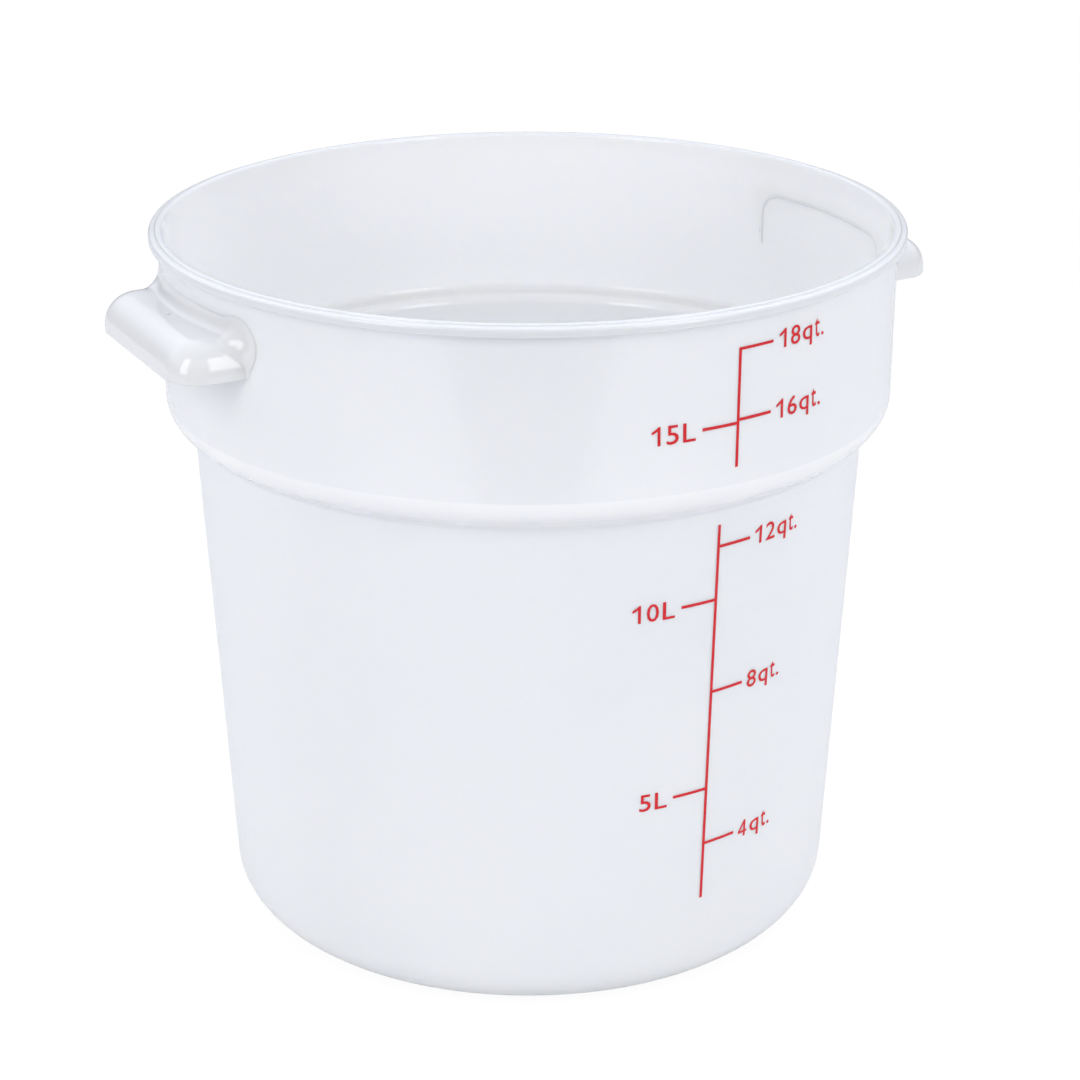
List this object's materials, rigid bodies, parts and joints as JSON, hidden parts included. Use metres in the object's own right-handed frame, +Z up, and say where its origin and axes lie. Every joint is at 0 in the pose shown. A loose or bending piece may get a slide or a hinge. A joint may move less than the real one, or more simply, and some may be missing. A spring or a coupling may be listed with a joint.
{
  "type": "round food storage container",
  "caption": "Open round polypropylene food container with a stepped collar, overhanging rim, hooded handles and printed volume scales.",
  "frame": {"origin": "middle of the underside, on the tub's axis", "axes": "+Z up along the tub's axis; the handles lie along X; the printed scale faces -Y"},
  "size_m": [0.35, 0.316, 0.3053],
  "materials": {
    "polypropylene": "translucent white; glossy collar and handles, satin lower body",
    "red_ink": "flat screen-printed red"
  },
  "bodies": {
    "root": {"tub": "polypropylene", "rim_lip": "polypropylene", "left_handle": "polypropylene", "right_handle": "polypropylene", "upper_scale_line": "red_ink", "lower_scale_line": "red_ink", "ink_18_qt_one": "red_ink", "ink_18_qt_eight": "red_ink", "ink_18_qt_q": "red_ink", "ink_18_qt_t": "red_ink", "ink_18_qt_stop": "red_ink", "ink_16_qt_one": "red_ink", "ink_16_qt_six": "red_ink", "ink_16_qt_q": "red_ink", "ink_16_qt_t": "red_ink", "ink_16_qt_stop": "red_ink", "ink_15_l_one": "red_ink", "ink_15_l_five": "red_ink", "ink_15_l_litre": "red_ink", "ink_12_qt_one": "red_ink", "ink_12_qt_two": "red_ink", "ink_12_qt_q": "red_ink", "ink_12_qt_t": "red_ink", "ink_12_qt_stop": "red_ink", "ink_10_l_one": "red_ink", "ink_10_l_zero": "red_ink", "ink_10_l_litre": "red_ink", "ink_8_qt_eight": "red_ink", "ink_8_qt_q": "red_ink", "ink_8_qt_t": "red_ink", "ink_8_qt_stop": "red_ink", "ink_5_l_five": "red_ink", "ink_5_l_litre": "red_ink", "ink_4_qt_four": "red_ink", "ink_4_qt_q": "red_ink", "ink_4_qt_t": "red_ink", "ink_4_qt_stop": "red_ink"}
  },
  "joints": []
}
